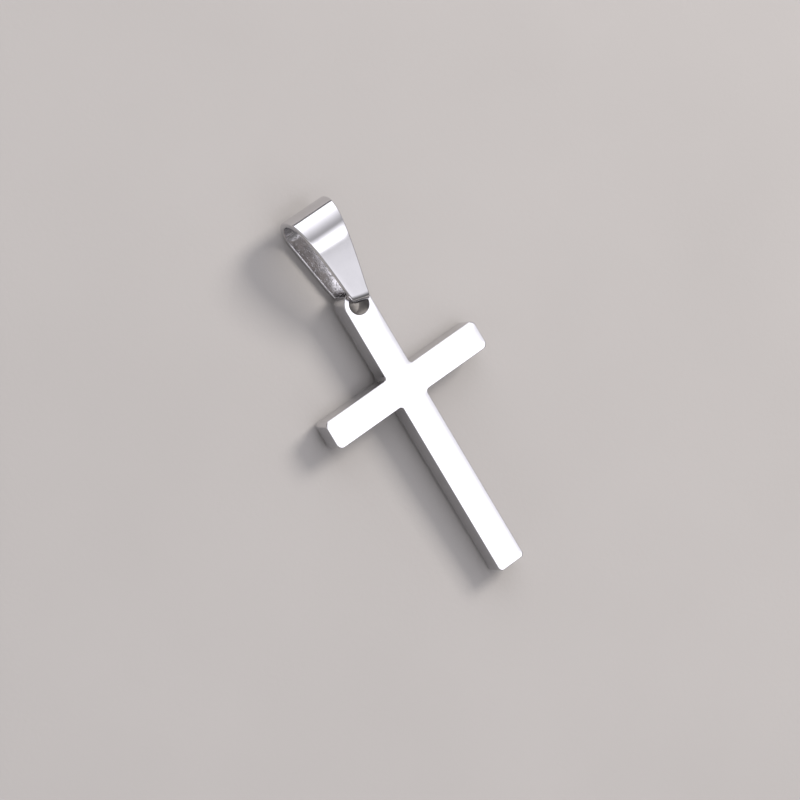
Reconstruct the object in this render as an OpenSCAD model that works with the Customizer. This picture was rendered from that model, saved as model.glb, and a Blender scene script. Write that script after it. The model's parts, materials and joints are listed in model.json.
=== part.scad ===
// A plain cross pendant that lies face up on its back, with a tapered bail folded through its eye.
// Millimetres. +Z is up from the surface it lies on, +Y runs along the upright towards the bail,
// and the origin is on that surface, under the middle of the whole pendant.

/* [Cross] */
// Width of the upright and of the crossbar
bar_w = 3; // [2.7:0.1:4]
// Length of the crossbar from end to end
arms_l = 18.6; // [14:0.1:24]
// Length of the upright from the middle of the eye to its foot
upright_l = 29.6; // [24:0.1:36]
// Distance from the middle of the eye to the middle of the crossbar
arms_drop = 9.05; // [7:0.05:12]
// Thickness of the cross
plate_t = 2.5; // [2:0.1:3]
// Size of the broken corners at the ends of the bars
corner_r = 0.4; // [0.2:0.05:0.8]
// Radius in the four inner corners where the bars meet
inner_r = 0.2; // [0.1:0.05:0.5]
// Diameter of the eye at the top of the upright
eye_d = 2.2; // [2.1:0.05:2.4]

/* [Bail] */
// Length of the bail from its foot to the top of its loop
bail_l = 10.4; // [9:0.1:13]
// Width of the strip at the top of the loop
bail_top_w = 4.9; // [4:0.1:6.5]
// Width of the strip at its foot
bail_foot_w = 1.65; // [1.5:0.05:2]
// Width of the tongue that passes through the eye
tongue_w = 1; // [0.9:0.05:1.15]
// Outer depth of the loop, front to back, where it is deepest
loop_depth = 5.7; // [5:0.1:6.2]
// Thickness of the strip
strip_t = 0.6; // [0.5:0.05:0.7]
// Outer radius of the two bends at the foot
bend_r = 0.8; // [0.75:0.05:1]

/* [Clearances] */
// Gap between the back of the cross and the back leaf of the bail as it lies
back_gap = 0.12; // [0.08:0.01:0.2]
// Front to back play of the cross between the two leaves at their foot
throat_play = 0.6; // [0.5:0.05:0.8]
// Gap between the tongue and the top of the eye
eye_play = 0.4; // [0.35:0.05:0.5]

/* [Hidden] */
$fn = 96;

// How far the cutting solids reach past what they cut
over = 1;

// Each corner at the end of a bar is broken by two flats, as a quarter of a figure with this many sides
corner_sides = 8;

// The bail by itself: y runs up from the middle of the tongue, z across from its middle plane
foot_depth = plate_t + throat_play + 2 * strip_t;
foot_y = -strip_t / 2;
loop_r = loop_depth / 2;
loop_y = foot_y + bail_l - loop_r;
bend_y = foot_y + bend_r;
bend_z = foot_depth / 2 - bend_r;

// The side outline of the loop is a belt round three circles, each [y, z, radius]
LOOP_CIRCLES = [[loop_y, 0, loop_r], [bend_y, bend_z, bend_r], [bend_y, -bend_z, bend_r]];

// Angle between each leaf and the middle plane, which is how far the bail tips to lie on its back leaf
leaf_angle = asin((loop_r - bend_r) / norm([loop_y - bend_y, bend_z])) - atan2(bend_z, loop_y - bend_y);

// The swing axis runs along x through the tongue, in the middle of the thickness of the cross
axis_up = eye_d / 2 - eye_play - strip_t / 2;
axis_z = strip_t + back_gap + plate_t / 2;

// Where the axis meets the tongue, from the middle plane of the bail
axis_on_tongue = (axis_z - bend_r + bend_y * sin(leaf_angle)) / cos(leaf_angle) - bend_z;

// The cross leans: its foot is on the surface and its eye is up at the axis
lean = asin(axis_z / norm([upright_l + axis_up, plate_t / 2])) - atan2(plate_t / 2, upright_l + axis_up);
eye_lift = upright_l * sin(lean);

// Reach of the whole pendant to both sides of the middle of the eye, and where that puts the eye
foot_reach = upright_l * cos(lean) + plate_t * sin(lean);
axis_y = axis_up * cos(lean) - plate_t / 2 * sin(lean);
loop_reach = axis_y + loop_y * cos(leaf_angle) + axis_on_tongue * sin(leaf_angle) + loop_r;
eye_y = (foot_reach - loop_reach) / 2;

// Outward normal of the belt's straight run from circle a to circle b, which lies on their right
function run_normal(a, b) =
    let (along = [b[0] - a[0], b[1] - a[1]])
    atan2(along[1], along[0]) - acos((a[2] - b[2]) / norm(along));

function on_circle(c, angle) = [c[0] + c[2] * cos(angle), c[1] + c[2] * sin(angle)];

// End of a bar, with its two broken corners, whose end face is centred on the origin
module bar_end() {
    half = bar_w / 2 - corner_r;
    translate([-half, 0]) square([2 * half, 2 * corner_r]);
    for (x = [-half, half]) translate([x, corner_r]) circle(corner_r, $fn = corner_sides);
}

// The small web that rounds one inner corner, its square corner at the origin
module inner_corner() {
    difference() {
        square(inner_r);
        translate([inner_r, inner_r]) circle(inner_r);
    }
}

// Outline of the cross seen from the front, with the middle of its eye at the origin
module cross_outline() {
    difference() {
        union() {
            circle(bar_w / 2);
            translate([-bar_w / 2, corner_r - upright_l]) square([bar_w, upright_l - corner_r]);
            translate([0, -upright_l]) bar_end();
            translate([0, -arms_drop]) {
                square([arms_l - 2 * corner_r, bar_w], center = true);
                for (side = [-1, 1]) rotate(side * 90) translate([0, -arms_l / 2]) bar_end();
                for (x = [0, 1], y = [0, 1])
                    mirror([x, 0]) mirror([0, y]) translate([bar_w / 2, bar_w / 2]) inner_corner();
            }
        }
        circle(eye_d / 2);
    }
}

module cross() {
    color("gainsboro")
        translate([0, eye_y, eye_lift])
            rotate([lean, 0, 0])
                linear_extrude(plate_t) cross_outline();
}

// Side outline of the loop, y across and z up, moved in from the outer face by inset
module loop_outline(inset) {
    circles = [for (c = LOOP_CIRCLES) [c[0], c[1], c[2] - inset]];
    ends = [for (i = [0 : len(circles) - 1])
        let (a = circles[i], b = circles[(i + 1) % len(circles)], normal = run_normal(a, b))
        each [on_circle(a, normal), on_circle(b, normal)]];
    union() {
        polygon(ends);
        for (c = circles) translate([c[0], c[1]]) circle(c[2]);
    }
}

// The closed strip before its edges are tapered: the side outline run along x
module loop_band() {
    width = bail_top_w + 2 * over;
    rotate([90, 0, 90])
        translate([0, 0, -width / 2])
            linear_extrude(width)
                difference() {
                    loop_outline(0);
                    loop_outline(strip_t);
                }
}

// The taper of the strip seen from the front
module strip_taper() {
    spread = (bail_top_w - bail_foot_w) / 2 / bail_l;
    low = bail_foot_w / 2 - over * spread;
    high = bail_top_w / 2 + over * spread;
    depth = loop_depth + 2 * over;
    translate([0, 0, -depth / 2])
        linear_extrude(depth)
            polygon([
                [-low, foot_y - over],
                [low, foot_y - over],
                [high, foot_y + bail_l + over],
                [-high, foot_y + bail_l + over]
            ]);
}

// What is cut from each side of the strip between the leaves, so that the tongue fits the eye
module tongue_notches() {
    gap = foot_depth - 2 * strip_t;
    for (side = [0, 1])
        mirror([side, 0, 0])
            translate([tongue_w / 2, foot_y - over, -gap / 2])
                cube([bail_foot_w, over + bend_r, gap]);
}

module bail() {
    color("silver")
        translate([0, eye_y + axis_y, axis_z])
            rotate([leaf_angle, 0, 0])
                translate([0, 0, -axis_on_tongue])
                    difference() {
                        intersection() {
                            loop_band();
                            strip_taper();
                        }
                        tongue_notches();
                    }
}

cross();
bail();
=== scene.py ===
"""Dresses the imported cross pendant: a polished steel cross with a folded, tapered bail in its eye.

Blender objects are in metres. The sizes below are in millimetres, as a jeweller gives them, and
each mesh is worked out in millimetres and scaled once, when it is made.
"""

import json
import logging
import math
from abc import ABC, abstractmethod
from collections.abc import Sequence
from dataclasses import dataclass
from enum import Enum

import bmesh
import bpy
from mathutils import Matrix, Vector


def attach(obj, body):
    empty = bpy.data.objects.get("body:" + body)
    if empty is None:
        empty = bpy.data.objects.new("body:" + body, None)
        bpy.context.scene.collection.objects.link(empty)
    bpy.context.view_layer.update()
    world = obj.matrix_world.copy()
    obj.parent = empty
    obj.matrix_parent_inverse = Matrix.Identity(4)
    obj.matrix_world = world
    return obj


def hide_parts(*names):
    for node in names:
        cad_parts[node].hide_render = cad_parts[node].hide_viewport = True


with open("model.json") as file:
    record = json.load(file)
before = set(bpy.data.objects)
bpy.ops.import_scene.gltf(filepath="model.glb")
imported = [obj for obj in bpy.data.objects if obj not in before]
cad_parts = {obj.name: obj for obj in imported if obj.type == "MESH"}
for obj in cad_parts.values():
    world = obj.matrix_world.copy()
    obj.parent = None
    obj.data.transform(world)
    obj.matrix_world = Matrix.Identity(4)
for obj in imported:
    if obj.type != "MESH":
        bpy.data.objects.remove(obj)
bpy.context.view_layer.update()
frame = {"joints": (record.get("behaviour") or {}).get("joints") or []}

log = logging.getLogger("cross_pendant")

MM = 0.001
SAME_PLACE_MM = 0.0001
PHOTO_PIXELS = 800
SENSOR_MM = 36.0

Point2 = tuple[float, float]
Point3 = tuple[float, float, float]
# A point, and the outward direction of the surface there
Spot = tuple[Vector, Vector]
Socket = bpy.types.NodeSocket
Tree = bpy.types.NodeTree


def linear(code: str) -> Point3:
    """Turns an sRGB colour into the linear one that shaders use.

    Args:
        code: The colour as six hex digits after a hash sign.

    Returns:
        Red, green and blue, each from 0 to 1.
    """
    values = [int(code[i:i + 2], 16) / 255 for i in (1, 3, 5)]
    return tuple(v / 12.92 if v <= 0.04045 else ((v + 0.055) / 1.055) ** 2.4 for v in values)


def smooth(value: float, low: float, high: float) -> float:
    """Eases from 0 at low to 1 at high.

    Args:
        value: The number to place between the two ends.
        low: Where the easing starts.
        high: Where it ends.

    Returns:
        A number from 0 to 1 with no kink at either end.
    """
    share = min(max((value - low) / (high - low), 0.0), 1.0)
    return share * share * (3 - 2 * share)


def add_node(
    tree: Tree,
    kind: str,
    inputs: dict[int | str, object] | None = None,
    **settings: object,
) -> bpy.types.Node:
    """Adds a node with its settings, values and links.

    Args:
        tree: The node tree that gets the node.
        kind: The node's type, such as ShaderNodeMath.
        inputs: For each input, by name or number, its value or the output socket to link to it.
        **settings: The node's own properties, such as operation.

    Returns:
        The new node.
    """
    node = tree.nodes.new(kind)
    for name, value in settings.items():
        setattr(node, name, value)
    for key, value in (inputs or {}).items():
        if isinstance(value, Socket):
            tree.links.new(value, node.inputs[key])
        else:
            node.inputs[key].default_value = value
    return node


class Tooling(Enum):
    """How steel was finished, with the share of its colour that is left in the worn patches."""

    BUFFED = 0.95
    # Tumbled steel's patches vary at random, and are darkened this deep as painted shade of the
    # bail's inside.
    TUMBLED = 0.6


@dataclass(frozen=True)
class Finish(ABC):
    """A real surface, with the marks of its making at their real sizes.

    Args:
        name: The material's name.
        colour: Its sRGB colour.
    """

    name: str
    colour: str

    def material(self) -> bpy.types.Material:
        """Makes the material.

        Returns:
            The material, with its marks laid out in millimetres.
        """
        made = bpy.data.materials.new(self.name)
        made.use_nodes = True
        tree = made.node_tree
        tree.nodes.clear()
        metres = add_node(tree, "ShaderNodeTexCoord").outputs["Object"]
        place = add_node(
            tree, "ShaderNodeVectorMath", {0: metres, "Scale": 1 / MM}, operation="SCALE"
        ).outputs[0]
        surface = add_node(tree, "ShaderNodeBsdfPrincipled", self.surface(tree, place))
        add_node(tree, "ShaderNodeOutputMaterial", {"Surface": surface.outputs["BSDF"]})
        return made

    @abstractmethod
    def surface(self, tree: Tree, place: Socket) -> dict[int | str, object]:
        """Adds the nodes that are this finish's own.

        Args:
            tree: The material's node tree.
            place: The place on the surface, in millimetres.

        Returns:
            The value or socket of each input of the shader.
        """


@dataclass(frozen=True)
class SteelFinish(Finish):
    """Stainless steel 316L with the marks of its finishing, besides the fields of Finish.

    Args:
        tooling: How the surface was finished.
        gloss: Roughness where the surface is smoothest.
        haze: How much roughness the worn patches add.
        patch_mm: Size of the worn patches.
        mark_mm: Spacing of the tool marks, across and along the piece.
        mark_depth_mm: Depth of the tool marks.
        wave_mm: Length of the slow waves that the wheel leaves.
        wave_depth_mm: Depth of those waves.
        pit_mm: Spacing of the pits that tumbling leaves.
        pit_depth_mm: Depth of the pits.
        pit_edge: Distance from a pit's middle to its edge, as a share of the spacing.
        dulled: Levels of the patches between which the colour fades.
        hazed: Levels of the patches between which the roughness rises.
        streak: Share of the haze that the tool marks add.
    """

    tooling: Tooling
    gloss: float
    haze: float
    patch_mm: float
    mark_mm: Point2
    mark_depth_mm: float
    wave_mm: float
    wave_depth_mm: float
    pit_mm: float = 0.2
    pit_depth_mm: float = 0.0
    pit_edge: float = 0.35
    dulled: Point2 = (0.45, 0.75)
    hazed: Point2 = (0.40, 0.72)
    streak: float = 0.5

    def surface(self, tree: Tree, place: Socket) -> dict[int | str, object]:
        """Adds the worn patches and the tool marks, which change the colour and the roughness.

        Args:
            tree: The material's node tree.
            place: The place on the surface, in millimetres.

        Returns:
            The value or socket of each input of the shader.
        """
        patches = add_node(
            tree,
            "ShaderNodeTexNoise",
            {"Vector": place, "Scale": 1 / self.patch_mm, "Detail": 4.0, "Roughness": 0.55},
        ).outputs["Fac"]
        across, along = self.mark_mm
        stretched = add_node(
            tree,
            "ShaderNodeMapping",
            {"Vector": place, "Scale": (1 / across, 1 / along, 1 / across)},
        ).outputs[0]
        marks = add_node(
            tree,
            "ShaderNodeTexNoise",
            {"Vector": stretched, "Scale": 1.0, "Detail": 2.0, "Roughness": 0.6},
        ).outputs["Fac"]
        start, end = self.dulled
        share = add_node(
            tree, "ShaderNodeMapRange", {0: patches, 1: start, 2: end, 3: 0.0, 4: 1.0}
        ).outputs[0]
        bright = linear(self.colour)
        dull = (v * self.tooling.value for v in bright)
        tone = add_node(
            tree,
            "ShaderNodeMix",
            {0: share, 6: (*bright, 1.0), 7: (*dull, 1.0)},
            data_type="RGBA",
        ).outputs[2]
        start, end = self.hazed
        worn = add_node(
            tree,
            "ShaderNodeMapRange",
            {0: patches, 1: start, 2: end, 3: self.gloss, 4: self.gloss + self.haze},
        ).outputs[0]
        roughness = add_node(
            tree,
            "ShaderNodeMath",
            {0: marks, 1: self.haze * self.streak, 2: worn},
            operation="MULTIPLY_ADD",
        ).outputs[0]
        normal = self.relief(tree, place, marks)
        return {"Base Color": tone, "Metallic": 1.0, "Roughness": roughness, "Normal": normal}

    def relief(self, tree: Tree, place: Socket, marks: Socket) -> Socket:
        """Adds the waves, the tool marks and, on tumbled steel, the pits as bumps.

        Args:
            tree: The material's node tree.
            place: The place on the surface, in millimetres.
            marks: The tool marks' height.

        Returns:
            The normal's socket.
        """
        wave = add_node(
            tree,
            "ShaderNodeTexNoise",
            {"Vector": place, "Scale": 1 / self.wave_mm, "Detail": 1.0, "Roughness": 0.55},
        ).outputs["Fac"]
        layers = [(self.wave_depth_mm, wave), (self.mark_depth_mm, marks)]
        if self.tooling is Tooling.TUMBLED:
            cells = add_node(
                tree,
                "ShaderNodeTexVoronoi",
                {"Vector": place, "Scale": 1 / self.pit_mm, "Randomness": 1.0},
            ).outputs["Distance"]
            pits = add_node(
                tree,
                "ShaderNodeMapRange",
                {0: cells, 1: 0.0, 2: self.pit_edge, 3: 0.0, 4: 1.0},
                interpolation_type="SMOOTHSTEP",
            ).outputs[0]
            layers.append((self.pit_depth_mm, pits))
        below = {}
        for depth_mm, height in layers:
            inputs = {"Strength": 1.0, "Distance": depth_mm * MM, "Height": height, **below}
            below = {"Normal": add_node(tree, "ShaderNodeBump", inputs).outputs[0]}
        return below["Normal"]


# A cloth wheel leaves stainless steel almost a mirror: crisp reflections, hairlines that only show
# where a light ends, and edges that roll off softly. The hairlines are drawn a few times coarser
# than real ones, which are finer than a pixel.
BUFFED_STEEL = SteelFinish(
    name="stainless_steel_316L_buffed",
    tooling=Tooling.BUFFED,
    colour="#D6D5D6",
    gloss=0.045,
    haze=0.05,
    patch_mm=2.2,
    mark_mm=(0.12, 2.5),
    mark_depth_mm=0.00012,
    wave_mm=3.0,
    wave_depth_mm=0.0012,
)

# The strip was buffed before it was folded, so its hairlines run along it and its waves are slower.
BUFFED_STEEL_BAIL = SteelFinish(
    name="stainless_steel_316L_buffed_strip",
    tooling=Tooling.BUFFED,
    colour="#D6D5D6",
    gloss=0.05,
    haze=0.05,
    patch_mm=1.8,
    mark_mm=(0.12, 1.6),
    mark_depth_mm=0.00015,
    wave_mm=2.4,
    wave_depth_mm=0.001,
)

# The inside of the bail can't be reached by the wheel. It keeps the satin of the tumbling barrel,
# with small pits that catch the light as specks. Its darker colour is painted shade of the hollow
# inside the loop.
TUMBLED_STEEL_PAINTED_SHADE = SteelFinish(
    name="stainless_steel_316L_tumbled_painted_shade",
    tooling=Tooling.TUMBLED,
    # Darker than the buffed steel: painted shade of the bail's inside.
    colour="#C9C7C8",
    gloss=0.08,
    haze=0.12,
    patch_mm=0.9,
    mark_mm=(0.11, 0.5),
    mark_depth_mm=0.003,
    wave_mm=1.6,
    wave_depth_mm=0.03,
    pit_mm=0.22,
    pit_depth_mm=0.022,
)


@dataclass(frozen=True)
class PlasterFinish(Finish):
    """Fine plaster, trowelled flat: the plain pale surface that the pendant lies on.

    Args:
        name: The material's name.
        colour: Its sRGB colour.
        shade: The sRGB colour of its slightly darker clouds.
        roughness: Its roughness, which is that of a matt mineral surface.
        cloud_mm: Size of the clouds.
        grain_mm: Size of its grains.
        grain_depth_mm: Height of its grains.
    """

    name: str = "plaster_trowelled_pale"
    colour: str = "#AFACA9"
    shade: str = "#A7A4A1"
    roughness: float = 0.85
    cloud_mm: float = 26.0
    grain_mm: float = 0.5
    grain_depth_mm: float = 0.012

    def surface(self, tree: Tree, place: Socket) -> dict[int | str, object]:
        """Adds the faint clouds and the fine grain.

        Args:
            tree: The material's node tree.
            place: The place on the surface, in millimetres.

        Returns:
            The value or socket of each input of the shader.
        """
        clouds, grain = (
            add_node(
                tree, "ShaderNodeTexNoise", {"Vector": place, "Scale": 1 / size, "Detail": detail}
            ).outputs["Fac"]
            for size, detail in ((self.cloud_mm, 5.0), (self.grain_mm, 3.0))
        )
        tone = add_node(
            tree,
            "ShaderNodeMix",
            {0: clouds, 6: (*linear(self.colour), 1.0), 7: (*linear(self.shade), 1.0)},
            data_type="RGBA",
        ).outputs[2]
        relief = add_node(
            tree,
            "ShaderNodeBump",
            {"Strength": 1.0, "Distance": self.grain_depth_mm * MM, "Height": grain},
        ).outputs[0]
        return {"Base Color": tone, "Roughness": self.roughness, "Normal": relief}


@dataclass(frozen=True)
class Lie:
    """How the pendant lies: the cross leans on its foot, the bail lies on its back leaf.

    Args:
        axis_y: Place of the swing axis along the pendant.
        axis_z: Height of the swing axis.
        lean: Angle of the cross from level, in radians.
        tip: Angle of the bail's middle plane from level, in radians.
        eye: Place of the middle of the eye, on the back of the cross.
        tongue_offset: Distance from the bail's middle plane to the axis.
    """

    axis_y: float
    axis_z: float
    lean: float
    tip: float
    eye: Point2
    tongue_offset: float

    def cross_matrix(self) -> Matrix:
        """Gives the move from the flat cross to the leaning one."""
        return Matrix.Translation((0.0, *self.eye)) @ Matrix.Rotation(self.lean, 4, "X")

    def bail_matrix(self, shift: float) -> Matrix:
        """Gives the move from the upright bail to the lying one.

        Args:
            shift: How far the bail has slid sideways in the eye.

        Returns:
            The move, in millimetres.
        """
        at_axis = Matrix.Translation((shift, self.axis_y, self.axis_z))
        turned = Matrix.Rotation(self.tip, 4, "X")
        return at_axis @ turned @ Matrix.Translation((0.0, 0.0, -self.tongue_offset))


class Skin:
    """A mesh under construction, whose vertices know the true direction of the surface."""

    def __init__(self) -> None:
        """Starts an empty mesh, in millimetres."""
        self.build = bmesh.new()
        self.facing = self.build.verts.layers.float_vector.new("facing")

    def vertex(self, place: Sequence[float], facing: Sequence[float]) -> bmesh.types.BMVert:
        """Adds a vertex.

        Args:
            place: Where it is.
            facing: The outward direction of the surface there.

        Returns:
            The vertex.
        """
        vert = self.build.verts.new(place)
        vert[self.facing] = Vector(facing).normalized()
        return vert

    def bridge(
        self, first: Sequence[bmesh.types.BMVert], second: Sequence[bmesh.types.BMVert]
    ) -> list[bmesh.types.BMFace]:
        """Joins two closed loops of as many vertices by quads.

        Args:
            first: The first loop.
            second: The second loop.

        Returns:
            The faces, in the loops' order.
        """
        pairs = zip(first, [*first[1:], first[0]], [*second[1:], second[0]], second)
        return [self.build.faces.new(quad) for quad in pairs]

    def piece(self, name: str, place: Matrix) -> bpy.types.Object:
        """Turns the mesh into an object.

        Args:
            name: The piece's name.
            place: The move to where it lies, in millimetres.

        Returns:
            The object, at the origin, with its place in its mesh.
        """
        self.build.transform(Matrix.Scale(MM, 4) @ place)
        bmesh.ops.recalc_face_normals(self.build, faces=self.build.faces)
        turn = place.to_3x3()
        normals = [turn @ vert[self.facing] for vert in self.build.verts]
        self.build.verts.layers.float_vector.remove(self.facing)
        mesh = bpy.data.meshes.new(name)
        self.build.to_mesh(mesh)
        self.build.free()
        mesh.shade_smooth()
        mesh.normals_split_custom_set_from_vertices(normals)
        piece = bpy.data.objects.new(name, mesh)
        bpy.context.scene.collection.objects.link(piece)
        return piece


@dataclass(frozen=True)
class Ring:
    """One ring over an edge of the cross, from its side wall to the flat of its face.

    Args:
        inset: How far it lies inside the outline.
        rolled: The part of the inset that shrinks where the metal is narrow.
        depth: How far it lies below the face.
        dropped: The rolled part of the depth, which shrinks where the wheel took less.
        steep: Angle of the broken edge from level there, in radians.
        slope: The rolled part of that angle.
    """

    inset: float
    rolled: float
    depth: float
    dropped: float
    steep: float
    slope: float


@dataclass(frozen=True)
class Corner:
    """A round corner of the cross's outline, outward or inward.

    Args:
        centre: Middle of its arc.
        radius: Its radius.
        start: Direction of the outline's outward normal where it starts, in degrees.
        turn: How far the normal turns, in degrees, and less than 0 in an inward corner.
    """

    centre: Point2
    radius: float
    start: float
    turn: float

    def normal(self, share: float) -> Vector:
        """Gives the outward normal at a share of the arc."""
        angle = math.radians(self.start + self.turn * share)
        return Vector((math.cos(angle), math.sin(angle)))

    def slide(self) -> Vector:
        """Gives how far the arc's middle moves per millimetre of inset, none at the round head."""
        ends = self.normal(0.0) + self.normal(1.0)
        return -ends if 0 < self.turn <= 90 else Vector((0.0, 0.0))

    def point(self, share: float, inset: float) -> Vector:
        """Gives a point of the arc moved inward.

        Args:
            share: Where on the arc, from 0 to 1.
            inset: How far inside the outline.

        Returns:
            The point, in millimetres. An outward corner of a bar keeps its radius.
        """
        centre = Vector(self.centre) + inset * self.slide()
        if self.turn < 0:
            return centre - (self.radius + inset) * self.normal(share)
        return centre + (self.radius - (0.0 if self.slide().length else inset)) * self.normal(share)

    def spread(self, share: float) -> float:
        """Gives how much wider the rings lie apart there than along a straight side."""
        return max(-self.slide().dot(self.normal(share)), 1.0)


@dataclass(frozen=True)
class RimPoint:
    """One point of a ring.

    Args:
        point: Where it is, seen from the front.
        outward: Its outward direction.
        part: Share of the rolled width there.
        spread: How much wider the rings lie apart there than along a straight side.
    """

    point: Vector
    outward: Vector
    part: float
    spread: float


@dataclass
class Cross:
    """The flat cross with its eye, buffed so that its edges roll off softly.

    Args:
        bar_w: Width of the upright and of the crossbar.
        arms_l: Length of the crossbar.
        upright_l: Length from the middle of the eye to the foot.
        arms_drop: Distance from the middle of the eye to the crossbar's middle.
        arms_off: How far the crossbar's middle was cast to the right of the upright's.
        plate_t: Thickness of the cross.
        corner_r: Radius of the corners at the ends of the arms.
        foot_corner_r: Radius of the two corners of the foot, which are a little sharper.
        inner_r: Radius of the inner corners.
        eye_r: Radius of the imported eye.
        punch_r: Radius of the eye as it was punched, a little less.
        edge_r: Radius of the broken edges.
        eye_edge_r: Radius of the eye's broken edges.
        eye_off: How far the eye was punched off the middle of the head.
        eye_lip: Width of the flat lip round the eye.
        roll_w: Width over which the buffing wheel rolled the face off.
        roll_drop: How far the face has dropped at the edges along the upright.
        roll_long: Share of that drop at the edges across it, where the wheel ran along the edge.
        roll_end: Share of that drop at the ends of the arms, where the wheel ran off.
        neck_share: Share of the rolled width left round the eye, where the metal is narrow.
        neck_from: Place along the upright where the rolled width starts to shrink.
        neck_to: Place where it has shrunk.
        arc_steps: Steps in a quarter of a corner's arc.
        side_steps: Steps along a straight side.
        edge_steps: Steps over a broken edge.
        roll_steps: Steps over the rolled part of the face.
        eye_sides: Steps round the eye.
    """

    bar_w: float = 3.0
    arms_l: float = 18.5
    upright_l: float = 29.6
    arms_drop: float = 9.15
    arms_off: float = 0.05
    plate_t: float = 2.5
    corner_r: float = 0.55
    foot_corner_r: float = 0.38
    inner_r: float = 0.38
    eye_r: float = 1.1
    punch_r: float = 1.04
    edge_r: float = 0.09
    eye_edge_r: float = 0.05
    eye_off: Point2 = (0.05, -0.06)
    eye_lip: float = 0.03
    roll_w: float = 0.95
    roll_drop: float = 0.032
    roll_long: float = 0.25
    roll_end: float = 0.75
    neck_share: float = 0.24
    neck_from: float = -3.4
    neck_to: float = -0.9
    arc_steps: int = 10
    side_steps: int = 14
    edge_steps: int = 5
    roll_steps: int = 6
    eye_sides: int = 72

    def corners(self) -> list[Corner]:
        """Lists the outline's corners, counter-clockwise from the right of the foot.

        Returns:
            The eleven corners, the round head among them.
        """
        half, r, inner = self.bar_w / 2, self.corner_r, self.inner_r
        foot, foot_r = -self.upright_l, self.foot_corner_r
        left, right = self.arms_off - self.arms_l / 2, self.arms_off + self.arms_l / 2
        low, high = -self.arms_drop - half, -self.arms_drop + half
        return [
            Corner((half - foot_r, foot + foot_r), foot_r, -90, 90),
            Corner((half + inner, low - inner), inner, 0, -90),
            Corner((right - r, low + r), r, -90, 90),
            Corner((right - r, high - r), r, 0, 90),
            Corner((half + inner, high + inner), inner, 90, -90),
            Corner((0.0, 0.0), half, 0, 180),
            Corner((-half - inner, high + inner), inner, 180, -90),
            Corner((left + r, high - r), r, 90, 90),
            Corner((left + r, low + r), r, 180, 90),
            Corner((-half - inner, low - inner), inner, 270, -90),
            Corner((foot_r - half, foot + foot_r), foot_r, 180, 90),
        ]

    def roll_share(self, y: float) -> float:
        """Gives the share of the rolled width at a place along the upright."""
        return 1 - (1 - self.neck_share) * smooth(y, self.neck_from, self.neck_to)

    def outline(self, ring: Ring) -> list[RimPoint]:
        """Works out the outline of one ring.

        Args:
            ring: The ring.

        Returns:
            Its points in order.
        """
        corners = self.corners()
        found = []
        for index, corner in enumerate(corners):
            steps = self.arc_steps * (4 if corner.turn > 90 else 1)
            for step in range(steps + 1):
                share = step / steps
                part = self.roll_share(corner.point(share, 0.0).y)
                inset = ring.inset + ring.rolled * part
                spot = corner.point(share, inset)
                found.append(RimPoint(spot, corner.normal(share), part, corner.spread(share)))
            found += self.side(corner, corners[(index + 1) % len(corners)], ring)
        return found

    def side(self, first: Corner, second: Corner, ring: Ring) -> list[RimPoint]:
        """Works out the points of a straight side between two corners.

        Args:
            first: The corner where the side starts.
            second: The corner where it ends.
            ring: The ring that it belongs to.

        Returns:
            The points between the two ends.
        """
        outward = first.normal(1.0)
        parts = (
            self.roll_share(first.point(1.0, 0.0).y),
            self.roll_share(second.point(0.0, 0.0).y),
        )
        start = first.point(1.0, ring.inset + ring.rolled * parts[0])
        end = second.point(0.0, ring.inset + ring.rolled * parts[1])
        found = []
        for step in range(1, self.side_steps):
            share = step / self.side_steps
            point = start.lerp(end, share)
            part = self.roll_share(point.y)
            even = parts[0] + (parts[1] - parts[0]) * share
            point -= outward * ring.rolled * (part - even)
            found.append(RimPoint(point, outward, part, 1.0))
        return found

    def rim(self, edge_r: float, width: float, drop: float) -> list[Ring]:
        """Lists the rings over one edge, from the side wall to the flat of the face.

        Args:
            edge_r: Radius of the broken edge.
            width: Width of the edge and the rolled part of the face together.
            drop: How far the face has dropped at its edge.

        Returns:
            The rings, the lowest first.
        """
        slope = 2 * drop / (width - edge_r)
        rings = []
        for step in range(self.edge_steps + 1):
            share = step / self.edge_steps
            angle = math.pi / 2 * share
            inset, depth = edge_r * (1 - math.cos(angle)), edge_r * (1 - math.sin(angle))
            rings.append(Ring(inset, 0.0, depth, drop, math.pi / 2 - angle, slope * share))
        for step in range(1, self.roll_steps + 1):
            left = 1 - step / self.roll_steps
            rolled = (width - edge_r) * (1 - left)
            rings.append(Ring(edge_r, rolled, 0.0, drop * left ** 2, 0.0, slope * left))
        return rings

    def outer_ring(self, skin: Skin, ring: Ring, front: bool) -> list[bmesh.types.BMVert]:
        """Adds one ring of the outline.

        Args:
            skin: The mesh under construction.
            ring: The ring.
            front: Whether it is on the front or on the back.

        Returns:
            The ring's vertices.
        """
        verts = []
        for spot in self.outline(ring):
            taken = self.roll_long + (1 - self.roll_long) * spot.outward.x ** 2
            taken *= 1 - (1 - self.roll_end) * smooth(abs(spot.point.x), self.bar_w, 2 * self.bar_w)
            tilt = ring.steep + ring.slope * taken
            tilt = math.atan2(math.sin(tilt), math.cos(tilt) * spot.spread)
            depth = ring.depth + ring.dropped * spot.part * taken
            verts.append(self.rim_vertex(skin, spot.point, spot.outward, depth, tilt, front))
        return verts

    def eye_ring(self, skin: Skin, ring: Ring, front: bool) -> list[bmesh.types.BMVert]:
        """Adds one ring of the eye, as outer_ring does for the outline.

        Args:
            skin: The mesh under construction.
            ring: The ring.
            front: Whether it is on the front or on the back.

        Returns:
            The ring's vertices.
        """
        verts = []
        for step in range(self.eye_sides):
            angle = math.tau * step / self.eye_sides
            outward = Vector((math.cos(angle), math.sin(angle)))
            point = Vector(self.eye_off) + outward * (self.punch_r + ring.inset + ring.rolled)
            verts.append(self.rim_vertex(skin, point, -outward, ring.depth, ring.steep, front))
        return verts

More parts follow.
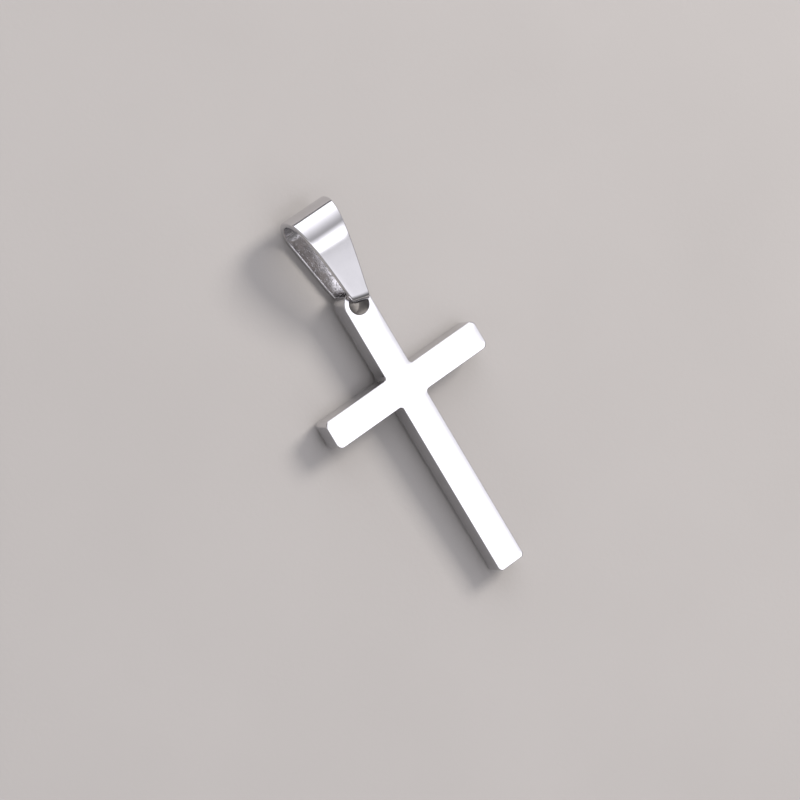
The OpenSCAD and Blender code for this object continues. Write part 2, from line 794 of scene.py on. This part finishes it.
    def rim_vertex(
        self, skin: Skin, point: Vector, outward: Vector, depth: float, tilt: float, front: bool
    ) -> bmesh.types.BMVert:
        """Adds one vertex of an edge.

        Args:
            skin: The mesh under construction.
            point: Where it is, seen from the front.
            outward: Its outward direction, seen from the front.
            depth: How far it lies below the face.
            tilt: Angle of the surface from level.
            front: Whether the face is the front or the back.

        Returns:
            The vertex.
        """
        facing = (*(outward * math.sin(tilt)), math.cos(tilt) * (1 if front else -1))
        return skin.vertex((*point, self.plate_t - depth if front else depth), facing)

    def build(self, lie: Lie) -> bpy.types.Object:
        """Builds the cross.

        Args:
            lie: How the pendant lies.

        Returns:
            The piece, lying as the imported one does.
        """
        skin = Skin()
        outer = self.rim(self.edge_r, self.roll_w, self.roll_drop)
        inner = self.rim(self.eye_edge_r, self.eye_edge_r + self.eye_lip, 0.0)
        for rings, add in ((outer, self.outer_ring), (inner, self.eye_ring)):
            loops = [add(skin, ring, False) for ring in reversed(rings)]
            loops += [add(skin, ring, True) for ring in rings]
            for low, high in zip(loops, loops[1:]):
                skin.bridge(low, high)
        # At the ends of the arms the innermost corners meet, and their points with them.
        bmesh.ops.remove_doubles(skin.build, verts=skin.build.verts, dist=SAME_PLACE_MM)
        for front in (False, True):
            rims = [
                edge
                for edge in skin.build.edges
                if edge.is_boundary and (edge.verts[0].co.z > self.plate_t / 2) == front
            ]
            bmesh.ops.triangle_fill(skin.build, use_beauty=True, edges=rims)
        return skin.piece("polished_cross", lie.cross_matrix())

    def dress(self, piece: bpy.types.Object) -> None:
        """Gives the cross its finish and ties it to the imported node.

        Args:
            piece: The cross.
        """
        piece.data.materials.append(BUFFED_STEEL.material())
        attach(piece, "cross")
        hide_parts("cross")


@dataclass(frozen=True)
class Station:
    """One place along the strip's path.

    Args:
        point: Its outer face's middle, along the bail and across it.
        normal: The outward direction there.
        half_width: Half of the strip's width there.
        thickness: The strip's thickness there.
        foot_share: How much of the foot's shift it has.
        skew: How far it slopes towards the foot on the right.
    """

    point: Vector
    normal: Vector
    half_width: float
    thickness: float
    foot_share: float
    skew: float


@dataclass
class Bail:
    """The tapered strip that is folded round through the eye, with a tight curl at its top.

    Args:
        length: Length from the foot to the top of the loop.
        top_w: Width of the strip at the top.
        foot_w: Width that the taper would have at the foot.
        tongue_w: Width of the tongue in the eye.
        strip_t: Thickness of the strip.
        bend_r: Outer radius of the bends at the foot, which the wheel rounded.
        inner_bend_r: Inner radius of those bends.
        worn_band: Parts of the outward direction towards the foot between which that wear sets in.
        foot_depth: Outer depth of the foot, front to back.
        loop_depth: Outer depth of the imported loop.
        eye_play: Gap between the tongue and the top of the eye.
        front_angle: Angle of the front leaf's foot from the middle plane, in degrees.
        back_angle: Angle of the back leaf from the middle plane, in radians.
        front_reach: Length of the front leaf's pull, which bows it.
        top_front: How far the curl's pull reaches forward.
        top_back: How far it reaches back.
        top_z: How far the curl's top stands forward of the middle plane.
        back_run: Length of the back leaf that is straight.
        back_reach: Length of the back leaf's pull.
        join_gap: Least gap between the front leaf's last point and the bend.
        edge_r: Radius of the strip's broken edges.
        hollow_r: Radius of the slight hollow across the inner face.
        shift: How far the bail has slid sideways in the eye.
        foot_shift: How far the tongue stands to the right of the strip's middle.
        foot_skew: Slope of the front leaf's fold across the strip at the foot, lower on the right.
        skew_to: Distance from the tongue's middle where that slope has gone.
        skew_band: Places in front of the middle plane between which that slope sets in.
        crown_w: Width over which the wheel rolled the outer face off at each edge.
        crown_slope: Slope of the outer face at its edges.
        neck_from: Distance from the tongue's middle, counted round the corner of the foot, where
            the strip starts to widen.
        neck_to: Distance where it has its full width.
        foot_to: Distance where the foot's shift has gone.
        curve_steps: Steps along each leaf and each half of the curl.
        bend_steps: Steps round each bend and along the tongue.
        edge_steps: Steps over a broken edge.
        hollow_steps: Steps across the inner face.
        crown_steps: Steps across the outer face.
    """

    length: float = 10.4
    top_w: float = 4.93
    foot_w: float = 1.66
    tongue_w: float = 1.0
    strip_t: float = 0.6
    bend_r: float = 1.35
    inner_bend_r: float = 0.2
    worn_band: Point2 = (0.15, 0.5)
    foot_depth: float = 4.3
    loop_depth: float = 5.7
    eye_play: float = 0.4
    front_angle: float = 8.6
    back_angle: float = 0.105
    front_reach: float = 6.06
    top_front: float = 3.03
    top_back: float = 1.5
    top_z: float = 0.27
    back_run: float = 6.69
    back_reach: float = 1.49
    join_gap: float = 0.02
    edge_r: float = 0.12
    hollow_r: float = 16.0
    shift: float = 0.15
    foot_shift: float = 0.14
    foot_skew: float = 0.28
    skew_to: float = 11.5
    skew_band: Point2 = (-0.5, 1.0)
    crown_w: float = 0.6
    crown_slope: float = 0.05
    neck_from: float = 1.12
    neck_to: float = 1.62
    foot_to: float = 4.5
    curve_steps: int = 70
    bend_steps: int = 18
    edge_steps: int = 5
    hollow_steps: int = 8
    crown_steps: int = 12

    @property
    def foot_y(self) -> float:
        """Gives the foot's lowest place, half a strip below the tongue's middle."""
        return -self.strip_t / 2

    @property
    def packed_bend_r(self) -> float:
        """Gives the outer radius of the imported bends, before the wheel rounded them."""
        return self.inner_bend_r + self.strip_t

    def path(self) -> list[Spot]:
        """Works out the strip's outer line: back leaf, curl, front leaf, bend, tongue and bend.

        Returns:
            Each point with its outward normal, in a closed row.
        """
        packed = Vector((self.foot_y, self.foot_depth / 2)) + self.packed_bend_r * Vector((1, -1))
        front = math.radians(self.front_angle)
        up_front = Vector((math.cos(front), math.sin(front)))
        up_back = Vector((math.cos(self.back_angle), -math.sin(self.back_angle)))
        out_front = Vector((-up_front.y, up_front.x))
        out_back = Vector((up_back.y, -up_back.x))
        front_foot = packed + self.packed_bend_r * out_front
        back_foot = Vector((packed.x, -packed.y)) + self.packed_bend_r * out_back
        top = Vector((self.foot_y + self.length, self.top_z))
        back_end = back_foot + self.back_run * up_back
        front_bend = self.bend_centre(front_foot, out_front)
        back_bend = self.bend_centre(back_foot, out_back)
        found = self.straight(back_bend + self.bend_r * out_back, back_end, self.curve_steps)
        found += self.curve(
            back_end, back_end + self.back_reach * up_back, top - Vector((0, self.top_back)), top
        )
        pull = front_foot + self.front_reach * up_front
        leaf = self.curve(top, top + Vector((0, self.top_front)), pull, front_foot)
        found += [spot for spot in leaf if (spot[0] - front_bend).dot(up_front) > self.join_gap]
        quarter = math.radians(90)
        found += self.bend(front_bend, quarter + front, 2 * quarter)
        tongue_top = Vector((self.foot_y, front_bend.y))
        found += self.straight(tongue_top, Vector((self.foot_y, back_bend.y)), self.bend_steps)
        found += self.bend(back_bend, 2 * quarter, 3 * quarter - self.back_angle)
        return found

    def bend_centre(self, on_leaf: Vector, outward: Vector) -> Vector:
        """Works out the middle of a bend that touches a leaf and the tongue.

        Args:
            on_leaf: A point of the leaf's outer face.
            outward: The leaf's outward direction.

        Returns:
            The middle of the bend.
        """
        along = self.foot_y + self.bend_r
        return Vector((along, (on_leaf.dot(outward) - self.bend_r - outward.x * along) / outward.y))

    def straight(self, first: Vector, last: Vector, steps: int) -> list[Spot]:
        """Works out a straight run, without its last point.

        Args:
            first: Where it starts.
            last: Where it ends.
            steps: How many points it has.

        Returns:
            Its points and outward normals.
        """
        along = (last - first).normalized()
        normal = Vector((along.y, -along.x))
        return [(first.lerp(last, step / steps), normal) for step in range(steps)]

    def curve(self, first: Vector, pull: Vector, push: Vector, last: Vector) -> list[Spot]:
        """Works out a Bezier curve, without its last point.

        Args:
            first: Where it starts.
            pull: The handle after its start.
            push: The handle before its end.
            last: Where it ends.

        Returns:
            Its points and outward normals.
        """
        found = []
        for step in range(self.curve_steps):
            t = step / self.curve_steps
            s = 1 - t
            point = s ** 3 * first + 3 * s * s * t * pull + 3 * s * t * t * push + t ** 3 * last
            along = s * s * (pull - first) + 2 * s * t * (push - pull) + t * t * (last - push)
            along.normalize()
            found.append((point, Vector((along.y, -along.x))))
        return found

    def bend(self, centre: Vector, start: float, end: float) -> list[Spot]:
        """Works out a bend at the foot, without its last point.

        Args:
            centre: Its middle.
            start: Its first outward direction, as an angle in radians.
            end: Its last one.

        Returns:
            Its points and outward normals.
        """
        found = []
        for step in range(self.bend_steps):
            angle = start + (end - start) * step / self.bend_steps
            normal = Vector((math.cos(angle), math.sin(angle)))
            found.append((centre + self.bend_r * normal, normal))
        return found

    def stations(self) -> list[Station]:
        """Gives each point of the path its width, which eases into the tongue's at the foot.

        Returns:
            The stations in a closed row.
        """
        found = []
        for point, normal in self.path():
            taper = (self.top_w - self.foot_w) / 2 * (point.x - self.foot_y) / self.length
            wide = self.foot_w / 2 + taper
            away = abs(point.y) + abs(point.x - self.foot_y)
            share = smooth(away, self.neck_from, self.neck_to)
            half_width = self.tongue_w / 2 + (wide - self.tongue_w / 2) * share
            foot_share = 1 - smooth(away, self.neck_from, self.foot_to)
            skew = self.foot_skew * (1 - smooth(away, self.neck_to, self.skew_to))
            skew *= smooth(point.y, *self.skew_band)
            thickness = self.thickness(normal)
            found.append(Station(point, normal, half_width, thickness, foot_share, skew))
        return found

    def thickness(self, normal: Vector) -> float:
        """Gives the strip's thickness, which is less where the wheel rounded the outside of a bend.

        Args:
            normal: The outward direction, which turns through a quarter in each bend.

        Returns:
            The thickness there.
        """
        worn = (self.bend_r - self.packed_bend_r) * (math.sqrt(2) - 1)
        turned = math.atan2(abs(normal.y), -normal.x)
        return self.strip_t - worn * math.sin(2 * turned) * smooth(-normal.x, *self.worn_band)

    def section(self, station: Station) -> list[tuple[float, float, float, float]]:
        """Works out the strip's cross-section, a rectangle with rounded corners.

        Args:
            station: Where it is.

        Returns:
            Each point's place across the strip, its depth below the outer face, and the parts of
            its outward direction across the strip and away from the bail.
        """
        half, r = station.half_width, self.edge_r
        flat, low = half - r, station.thickness - r
        found = self.corner(flat, r, r, 0.0) + self.corner(flat, low, r, 90.0)
        for step in range(1, self.hollow_steps):
            across = flat * (1 - 2 * step / self.hollow_steps)
            hollow = (1 - station.foot_share) / self.hollow_r
            deep = station.thickness - hollow * (flat ** 2 - across ** 2) / 2
            found.append((across, deep, -hollow * across, -1.0))
        found += self.corner(-flat, low, r, 180.0) + self.corner(-flat, r, r, 270.0)
        for step in range(1, self.crown_steps):
            found.append((flat * (2 * step / self.crown_steps - 1), 0.0, 0.0, 1.0))
        return [self.crowned(half, *spot) for spot in found]

    def crowned(
        self, half: float, across: float, deep: float, aside: float, out: float
    ) -> tuple[float, float, float, float]:
        """Rolls the outer face off at a point of the section.

        Args:
            half: Half of the strip's width there.
            across: The point's place across the strip.
            deep: Its depth below the outer face.
            aside: Part of its outward direction across the strip.
            out: Part of its outward direction away from the bail.

        Returns:
            The point, changed only on the outer face and its two edges.
        """
        share = min(max((abs(across) - half) / self.crown_w + 1, 0.0), 1.0)
        rolled = max(out, 0.0) * self.crown_slope * share
        deep += rolled * self.crown_w * share / 2
        return across, deep, aside + math.copysign(rolled, across), out

    def corner(self, across: float, deep: float, r: float, start: float) -> list[tuple[float, ...]]:
        """Works out one rounded corner of the section.

        Args:
            across: Place of its arc's middle across the strip.
            deep: Depth of that middle below the outer face.
            r: Its radius.
            start: Its first direction, in degrees clockwise from outward.

        Returns:
            Its points, as section gives them.
        """
        found = []
        for step in range(self.edge_steps + 1):
            angle = math.radians(start + 90.0 * step / self.edge_steps)
            aside, out = math.sin(angle), math.cos(angle)
            found.append((across + r * aside, deep - r * out, aside, out))
        return found

    def build(self, lie: Lie) -> bpy.types.Object:
        """Builds the bail.

        Args:
            lie: How the pendant lies.

        Returns:
            The piece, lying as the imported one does.
        """
        skin = Skin()
        stations = self.stations()
        loops = []
        neighbours = zip([stations[-1], *stations], [*stations[1:], stations[0]])
        for station, (before, after) in zip(stations, neighbours):
            along = (after.point - before.point).normalized()
            flare = (after.half_width - before.half_width) / (after.point - before.point).length
            verts = []
            for across, deep, aside, out in self.section(station):
                across += self.foot_shift * station.foot_share
                spot = station.point - deep * station.normal
                spot.x -= station.skew * across
                facing = out * station.normal - abs(aside) * flare * along
                aside += station.skew * facing.x
                verts.append(skin.vertex((across, *spot), (aside, *facing)))
            loops.append(verts)
        first_inner = self.edge_steps + 1 + self.edge_steps // 2
        inner_faces = range(first_inner, first_inner + self.edge_steps + self.hollow_steps)
        for first, second in zip(loops, [*loops[1:], loops[0]]):
            faces = skin.bridge(first, second)
            for index in inner_faces:
                faces[index].material_index = 1
        return skin.piece("polished_bail", lie.bail_matrix(self.shift))

    def dress(self, piece: bpy.types.Object) -> None:
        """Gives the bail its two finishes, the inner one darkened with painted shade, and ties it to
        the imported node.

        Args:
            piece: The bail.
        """
        piece.data.materials.append(BUFFED_STEEL_BAIL.material())
        piece.data.materials.append(TUMBLED_STEEL_PAINTED_SHADE.material())
        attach(piece, "bail")
        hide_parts("bail")


class Fade(Enum):
    """How the border of a soft light fades."""

    EASED = "SMOOTHSTEP"
    EVEN = "LINEAR"


@dataclass(frozen=True)
class SoftPanel:
    """A soft light of the studio, as a patch of the dome that the metal reflects.

    Args:
        name: What it is, which labels its node.
        tilt: Its lower and upper limit as an angle about the X axis from straight up, in degrees,
            towards the head of the pendant.
        tilt_soft: Width of its two soft borders that way, in degrees.
        side: Its left and right limit, as the X of the direction to it.
        side_soft: Width of its soft borders that way.
        strength: How bright it is.
        fade: How its upper and lower border fade.
        colour: Its sRGB colour.
    """

    name: str
    tilt: Point2
    tilt_soft: Point2
    side: Point2
    side_soft: Point2
    strength: float
    fade: Fade = Fade.EASED
    colour: str = "#F8F7FF"


@dataclass
class Studio:
    """The plain floor, the dome of soft lights and the key light.

    Args:
        floor_mm: Length of the floor's sides.
        ambient: Brightness of the dome between the panels.
        ambient_colour: Its sRGB colour.
        key_direction: Where the key light stands, from the pendant.
        key_distance_mm: How far it stands.
        key_size_mm: Length of its sides.
        key_watts: Its power.
        key_colour: Its sRGB colour.
        panels: The soft lights that the metal reflects.
    """

    floor_mm: float = 4000.0
    ambient: float = 0.22
    ambient_colour: str = "#F4F1F2"
    key_direction: Point3 = (0.74, 0.18, 0.62)
    key_distance_mm: float = 700.0
    key_size_mm: float = 240.0
    key_watts: float = 4.3
    key_colour: str = "#FFF9F4"
    panels: tuple[SoftPanel, ...] = (
        SoftPanel("overhead", (-20.6, -7.5), (4.0, 12.0), (-0.6, 0.41), (0.2, 0.16), 1.0),
        SoftPanel("overhead_veil", (-20.6, -7.5), (4.0, 12.0), (-0.6, 0.66), (0.2, 0.12), 0.75),
        SoftPanel("back", (16.0, 80.0), (50.0, 4.0), (-0.15, 0.66), (0.2, 0.2), 1.9, Fade.EVEN),
        SoftPanel("front", (-60.0, -15.5), (36.0, 40.0), (-0.2, 0.5), (0.6, 0.2), 0.95),
        SoftPanel("front_left", (-60.0, -15.5), (36.0, 40.0), (-0.6, 0.27), (0.2, 0.12), 0.18),
        SoftPanel("left", (-75.0, 75.0), (30.0, 30.0), (-1.2, -0.75), (0.1, 0.2), 0.6),
        SoftPanel("right", (-75.0, 75.0), (30.0, 30.0), (0.78, 1.2), (0.2, 0.1), 0.6),
    )

    def floor(self) -> bpy.types.Object:
        """Builds the floor.

        Returns:
            A square whose top is where the pendant lies.
        """
        skin = Skin()
        half = self.floor_mm / 2
        corners = [(-half, -half, 0), (half, -half, 0), (half, half, 0), (-half, half, 0)]
        skin.build.faces.new([skin.vertex(corner, (0, 0, 1)) for corner in corners])
        floor = skin.piece("floor", Matrix.Identity(4))
        floor.data.materials.append(PlasterFinish().material())
        return floor

    def dome(self) -> bpy.types.World:
        """Builds the dome of soft lights.

        Returns:
            The scene's world.
        """
        world = bpy.data.worlds.new("studio_dome")
        bpy.context.scene.world = world
        world.use_nodes = True
        tree = world.node_tree
        tree.nodes.clear()
        direction = add_node(tree, "ShaderNodeTexCoord").outputs["Generated"]
        parts = add_node(tree, "ShaderNodeSeparateXYZ", {0: direction}).outputs
        radians = add_node(
            tree, "ShaderNodeMath", {0: parts["Y"], 1: parts["Z"]}, operation="ARCTAN2"
        ).outputs[0]
        tilt = add_node(tree, "ShaderNodeMath", {0: radians}, operation="DEGREES").outputs[0]
        base = (self.ambient * v for v in linear(self.ambient_colour))
        total = add_node(tree, "ShaderNodeCombineXYZ", dict(enumerate(base))).outputs[0]
        for panel in self.panels:
            light = tuple(panel.strength * v for v in linear(panel.colour))
            total = add_node(
                tree,
                "ShaderNodeVectorMath",
                {0: light, 1: self.reach(tree, tilt, parts["X"], panel), 2: total},
                operation="MULTIPLY_ADD",
            ).outputs[0]
        back = add_node(tree, "ShaderNodeBackground", {"Color": total, "Strength": 1.0})
        add_node(tree, "ShaderNodeOutputWorld", {"Surface": back.outputs[0]})
        return world

    def reach(self, tree: Tree, tilt: Socket, side: Socket, panel: SoftPanel) -> Socket:
        """Adds the share of a panel's light that comes from a direction.

        Args:
            tree: The world's node tree.
            tilt: The direction's angle about the X axis, in degrees.
            side: The direction's X.
            panel: The panel.

        Returns:
            The share, 1 within the panel's four borders and fading to 0 outside them.
        """
        share = 1.0
        for value, limits, soft, fade in (
            (tilt, panel.tilt, panel.tilt_soft, panel.fade),
            (side, panel.side, panel.side_soft, Fade.EASED),
        ):
            for limit, width, low in zip(limits, soft, (0.0, 1.0)):
                inputs = {0: value, 1: limit - width / 2, 2: limit + width / 2, 3: low, 4: 1 - low}
                faded = add_node(tree, "ShaderNodeMapRange", inputs, interpolation_type=fade.value)
                share = add_node(
                    tree,
                    "ShaderNodeMath",
                    {0: share, 1: faded.outputs[0]},
                    operation="MULTIPLY",
                    label=panel.name,
                ).outputs[0]
        return share

    def key(self) -> bpy.types.Object:
        """Builds the key light, which gives the shadow alone: the metal reflects the panels.

        Returns:
            The light.
        """
        lamp = bpy.data.lights.new("key", "AREA")
        lamp.shape = "SQUARE"
        lamp.size = self.key_size_mm * MM
        lamp.energy = self.key_watts
        lamp.color = linear(self.key_colour)
        light = bpy.data.objects.new("key", lamp)
        bpy.context.scene.collection.objects.link(light)
        direction = Vector(self.key_direction).normalized()
        light.visible_glossy = False
        light.location = direction * self.key_distance_mm * MM
        light.rotation_mode = "QUATERNION"
        light.rotation_quaternion = direction.to_track_quat("Z", "Y")
        return light


@dataclass(frozen=True)
class PhotoCamera:
    """The camera that took the photograph, worked out from the cross's straight edges.

    Args:
        target: The point at the picture's middle, in millimetres.
        distance: How far it is from there, in millimetres.
        azimuth: Its direction round the pendant, 0 looking along +Y, in degrees.
        elevation: Its height above the horizon, in degrees.
        roll: Its turn about its own view, in degrees.
        focal_px: Its focal length in the photograph's pixels.
        clip_m: The nearest and the furthest that it sees, in metres.
    """

    target: Point3 = (-1.011, -0.614, 2.0)
    distance: float = 392.617
    azimuth: float = -117.456
    elevation: float = 66.600
    roll: float = -84.210
    focal_px: float = 4113.18
    clip_m: Point2 = (0.01, 20.0)

    def build(self) -> bpy.types.Object:
        """Builds the camera and makes it the scene's own.

        Returns:
            The camera.
        """
        az, el = math.radians(self.azimuth), math.radians(self.elevation)
        back = Vector((math.sin(az) * math.cos(el), -math.cos(az) * math.cos(el), math.sin(el)))
        level = Vector((0.0, 0.0, 1.0)).cross(back).normalized()
        upright = back.cross(level)
        turn = math.radians(self.roll)
        up = math.cos(turn) * upright + math.sin(turn) * level
        right = up.cross(back)
        lens = bpy.data.cameras.new("photo_camera")
        lens.sensor_width = SENSOR_MM
        lens.lens = self.focal_px / PHOTO_PIXELS * SENSOR_MM
        lens.clip_start, lens.clip_end = self.clip_m
        camera = bpy.data.objects.new("photo_camera", lens)
        bpy.context.scene.collection.objects.link(camera)
        spot = (Vector(self.target) + self.distance * back) * MM
        turned = Matrix((right, up, back)).transposed().to_4x4()
        camera.matrix_world = Matrix.Translation(spot) @ turned
        bpy.context.scene.camera = camera
        return camera


def pendant_lie(cross: Cross, bail: Bail) -> Lie:
    """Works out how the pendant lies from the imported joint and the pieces' sizes.

    Args:
        cross: The cross.
        bail: The bail.

    Returns:
        The lie that both pieces share.
    """
    _, joint_y, joint_z = frame["joints"][0]["pos_m"]
    axis_y, axis_z = joint_y / MM, joint_z / MM
    axis_up = cross.eye_r - bail.eye_play - bail.strip_t / 2
    reach = math.hypot(cross.upright_l + axis_up, cross.plate_t / 2)
    lean = math.asin(axis_z / reach) - math.atan2(cross.plate_t / 2, cross.upright_l + axis_up)
    eye_y = axis_y - axis_up * math.cos(lean) + cross.plate_t / 2 * math.sin(lean)
    bend_r, loop_r = bail.packed_bend_r, bail.loop_depth / 2
    bend_y, bend_z = bail.foot_y + bend_r, bail.foot_depth / 2 - bend_r
    run = bail.foot_y + bail.length - loop_r - bend_y
    tip = math.asin((loop_r - bend_r) / math.hypot(run, bend_z)) - math.atan2(bend_z, run)
    offset = (axis_z - bend_r + bend_y * math.sin(tip)) / math.cos(tip) - bend_z
    return Lie(axis_y, axis_z, lean, tip, (eye_y, cross.upright_l * math.sin(lean)), offset)


def main() -> None:
    """Builds the studio and the pieces, and reports each."""
    logging.basicConfig(level=logging.INFO, format="%(name)s: %(message)s")
    scene = bpy.context.scene
    scene.view_settings.view_transform = "Standard"
    PhotoCamera().build()
    studio = Studio()
    studio.floor()
    studio.dome()
    studio.key()
    cross, bail = Cross(), Bail()
    lie = pendant_lie(cross, bail)
    bail.back_angle = lie.tip
    for sub_assembly in (cross, bail):
        piece = sub_assembly.build(lie)
        sub_assembly.dress(piece)
        log.info("%s: %d faces", piece.name, len(piece.data.polygons))


if __name__ == "__main__":
    main()
